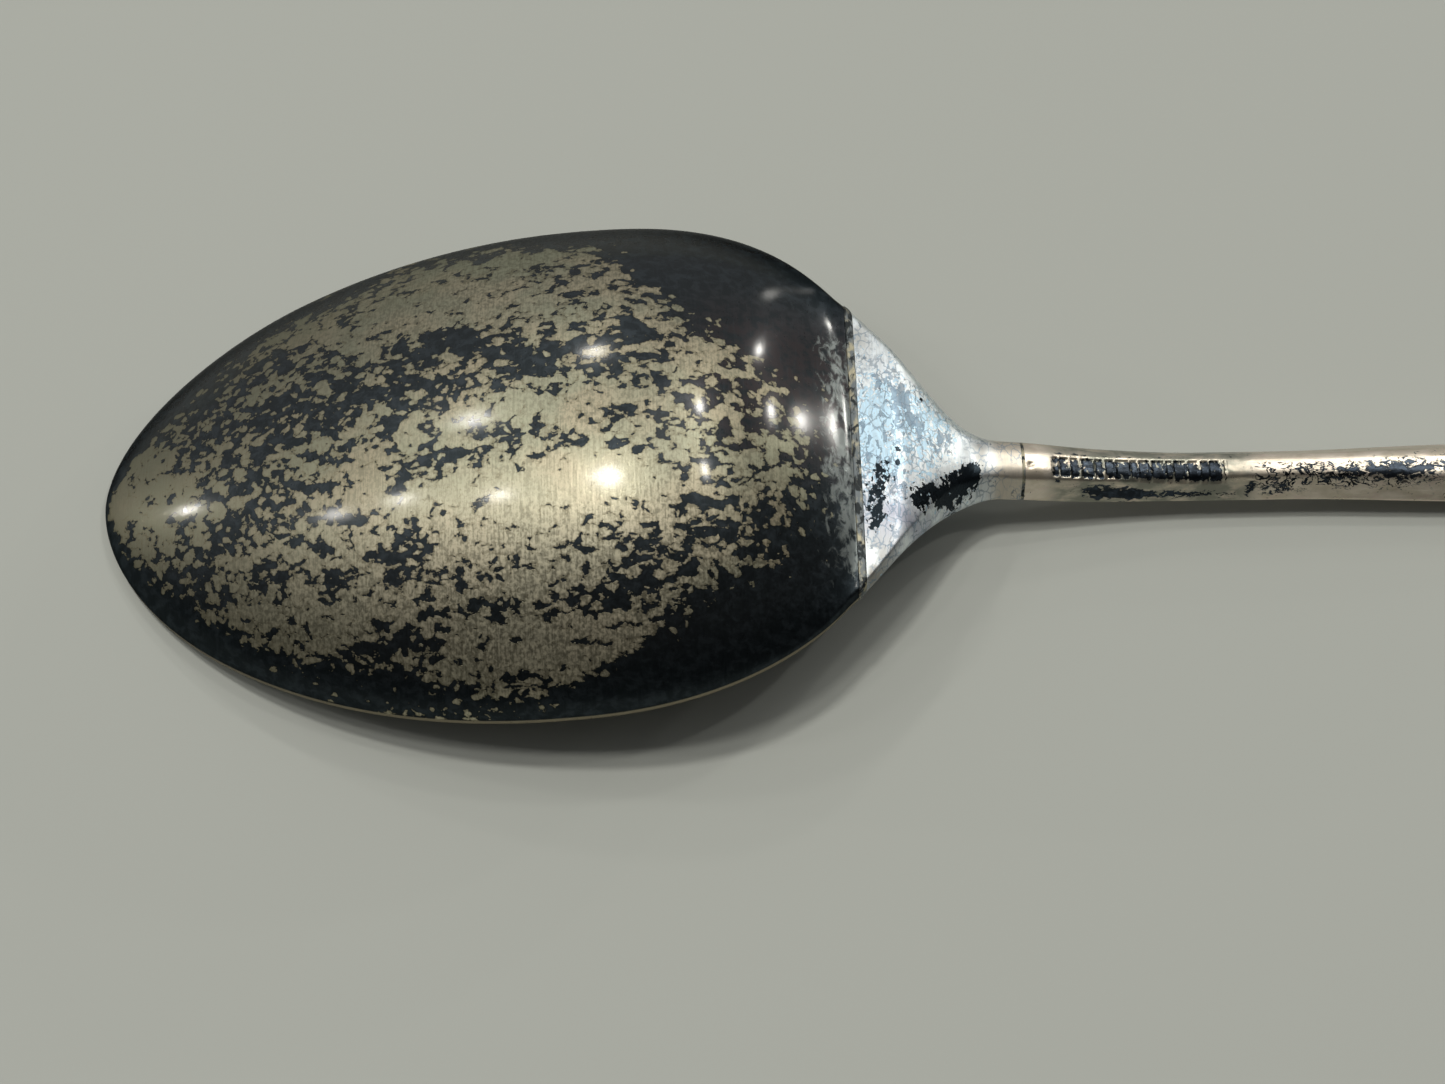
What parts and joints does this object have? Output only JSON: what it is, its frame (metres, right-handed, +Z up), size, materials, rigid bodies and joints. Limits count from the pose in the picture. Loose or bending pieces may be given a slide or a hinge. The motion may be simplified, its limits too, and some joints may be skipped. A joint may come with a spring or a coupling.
{
  "type": "souvenir spoon",
  "caption": "Tarnished silver-plated souvenir teaspoon lying face down: pointed oval bowl, flared neck, slim handle and a round end with a soldered enamel badge.",
  "frame": {"origin": "middle of the box's underside, on the surface that the spoon lies on", "axes": "+X along the spoon from the bowl tip to the handle end, +Y across the bowl, +Z up; the spoon lies face down, so the back of the bowl and handle faces +Z"},
  "size_m": [0.14, 0.032, 0.0133],
  "materials": {
    "bowl_silver": "silver plate over copper alloy with brush lines and ragged blue-black tarnish",
    "neck_silver": "bright silver plate with blue-grey mottling",
    "handle_silver": "warm silver plate with black tarnish in the stamped strip",
    "silver_solder": "pale yellow silver solder",
    "badge_silver": "bright silver plate, dark in the corners",
    "blue_enamel": "glossy fired enamel",
    "white_enamel": "glossy fired enamel"
  },
  "bodies": {
    "root": {"bowl": "bowl_silver", "bowl_solder": "silver_solder", "neck": "neck_silver", "neck_solder": "silver_solder", "handle": "handle_silver", "badge_solder": "silver_solder", "badge": "badge_silver", "enamel_field": "blue_enamel", "enamel_star": "white_enamel"}
  },
  "joints": []
}
